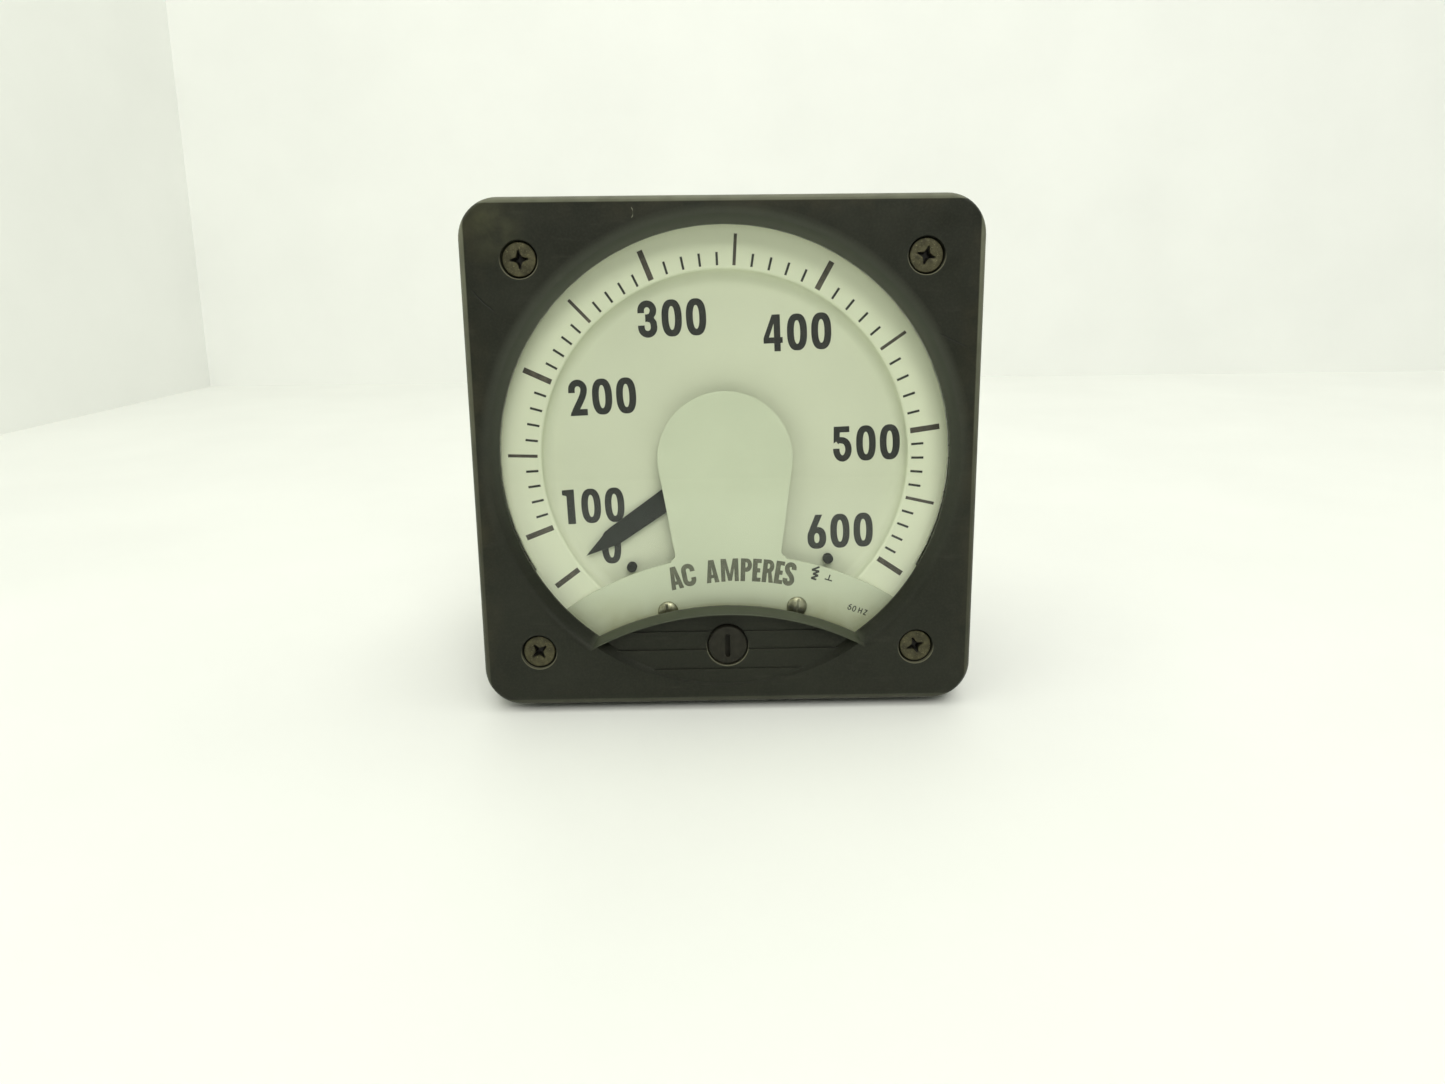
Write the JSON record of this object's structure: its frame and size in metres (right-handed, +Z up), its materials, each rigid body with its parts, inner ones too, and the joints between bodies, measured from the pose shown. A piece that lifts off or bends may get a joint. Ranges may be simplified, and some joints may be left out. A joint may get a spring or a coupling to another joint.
{
  "type": "analog panel meter",
  "caption": "Square flush-mounting analog panel meter with a long circular scale behind a round window, a pivoted pointer and a slotted zero adjuster.",
  "frame": {"origin": "centre of the bounding box's base, under the square flange", "axes": "+X to the reader's right, +Y from the front face into the meter, +Z up; the dial faces -Y"},
  "size_m": [0.111, 0.092, 0.111],
  "materials": {
    "cover_plastic": "satin charcoal phenolic moulding",
    "case_plastic": "black phenolic moulding",
    "adjuster_plastic": "worn olive-grey slotted moulding",
    "clear_glass": "flat clear window glass",
    "seal_rubber": "black seal",
    "bronzed_steel": "dull bronzed steel, olive-brown patina",
    "zinc_steel": "zinc-plated steel",
    "dial_paint": "matt off-white paint on aluminium sheet",
    "nickel": "nickel-plated brass",
    "black_paint": "satin black paint",
    "blackened_aluminium": "matt black paint on thin aluminium",
    "brass": "turned brass",
    "aluminium": "plain aluminium sheet",
    "soft_iron": "plain soft iron",
    "copper_wire": "enamelled copper wire",
    "bobbin_plastic": "brown laminated bobbin",
    "magnet_iron": "sintered magnet",
    "spring_bronze": "phosphor-bronze strip"
  },
  "bodies": {
    "housing": {"front_cover": "cover_plastic", "rear_case": "case_plastic", "window_gasket": "seal_rubber", "cover_gasket": "seal_rubber", "window_glass": "clear_glass", "glass_retainer": "zinc_steel", "dial_plate": "dial_paint", "dial_cover_plate": "dial_paint", "movement_plate": "aluminium", "frame_post_upper": "brass", "frame_post_lower": "brass", "front_bridge": "brass", "front_jewel_screw": "nickel", "rear_bridge": "aluminium", "rear_jewel_screw": "nickel", "coil_bobbin": "bobbin_plastic", "coil_winding": "copper_wire", "fixed_iron": "soft_iron", "coil_lead_left": "copper_wire", "coil_lead_right": "copper_wire", "damping_magnet_front": "magnet_iron", "damping_magnet_rear": "magnet_iron", "magnet_keeper": "soft_iron", "cover_screw_top_left": "bronzed_steel", "mounting_stud_top_left": "zinc_steel", "mounting_nut_top_left": "zinc_steel", "cover_screw_top_right": "bronzed_steel", "mounting_stud_top_right": "zinc_steel", "mounting_nut_top_right": "zinc_steel", "cover_screw_bottom_left": "bronzed_steel", "mounting_stud_bottom_left": "zinc_steel", "mounting_nut_bottom_left": "zinc_steel", "cover_screw_bottom_right": "bronzed_steel", "mounting_stud_bottom_right": "zinc_steel", "mounting_nut_bottom_right": "zinc_steel", "dial_screw_left": "nickel", "dial_post_left": "brass", "stop_pin_left": "black_paint", "terminal_stud_left": "brass", "terminal_washer_left": "brass", "terminal_nut_left": "brass", "dial_screw_right": "nickel", "dial_post_right": "brass", "stop_pin_right": "black_paint", "terminal_stud_right": "brass", "terminal_washer_right": "brass", "terminal_nut_right": "brass"},
    "movement": {"spindle": "zinc_steel", "pointer": "blackened_aluminium", "pointer_hub": "brass", "balance_weight_tail": "brass", "balance_weight_left": "brass", "balance_weight_right": "brass", "moving_iron": "soft_iron", "damping_disc": "aluminium"},
    "zero_adjuster": {"zero_adjuster": "adjuster_plastic"},
    "zero_lever": {"zero_lever": "brass", "hairspring": "spring_bronze"}
  },
  "joints": [
    {"name": "pointer_swing", "type": "hinge", "parent": "housing", "child": "movement", "pos_m": [0, 0, 0.055], "axis": [0, 1, 0], "range_deg": [-7.5, 254], "stiffness_Nm_per_rad": 0.00002},
    {"name": "zero_adjust", "type": "hinge", "parent": "housing", "child": "zero_adjuster", "pos_m": [0, -0.04, 0.0131], "axis": [0, 1, 0], "range_deg": [-35, 35]},
    {"name": "zero_lever_swing", "type": "hinge", "parent": "housing", "child": "zero_lever", "pos_m": [0, -0.03, 0.055], "axis": [0, 1, 0], "range_deg": [-2.8, 2.8]}
  ],
  "couplings": [
    {"joint": "zero_lever_swing", "follows": "zero_adjust", "ratio": -0.0771}
  ]
}
